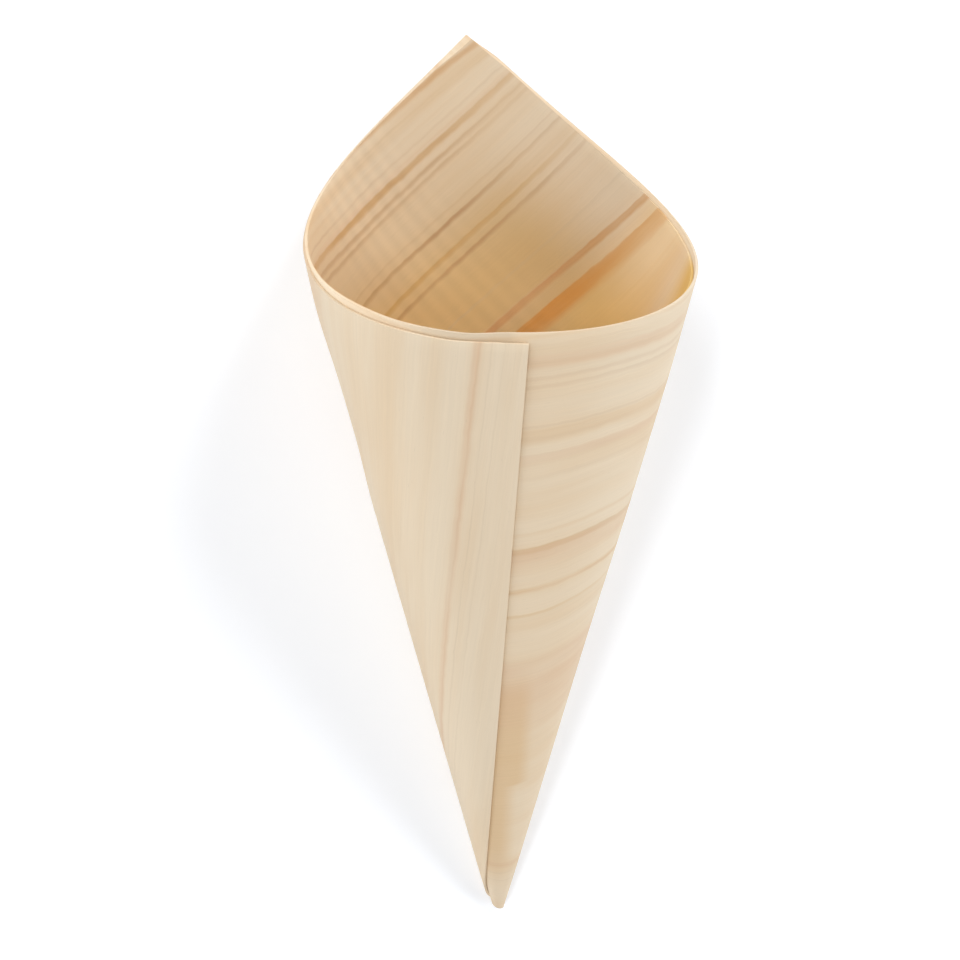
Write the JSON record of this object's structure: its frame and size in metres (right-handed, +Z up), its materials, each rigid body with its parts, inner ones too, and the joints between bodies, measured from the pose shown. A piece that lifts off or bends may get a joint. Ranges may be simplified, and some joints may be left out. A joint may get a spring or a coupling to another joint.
{
  "type": "wooden serving cone",
  "caption": "Open cone with a pointed back, rolled from a sheet of thin wood veneer, that holds a hand-sized portion of food.",
  "frame": {"origin": "middle of the bounding box, on the surface that the cone lies on", "axes": "the cone lies on its back: +Y from the tip towards the mouth, +Z up, +X to the right as seen from above with the mouth away from the viewer"},
  "size_m": [0.0708, 0.1796, 0.0632],
  "materials": {
    "veneer": "bare, unvarnished sliced veneer, matte, with straight grain"
  },
  "bodies": {
    "root": {"veneer_cone": "veneer"}
  },
  "joints": []
}
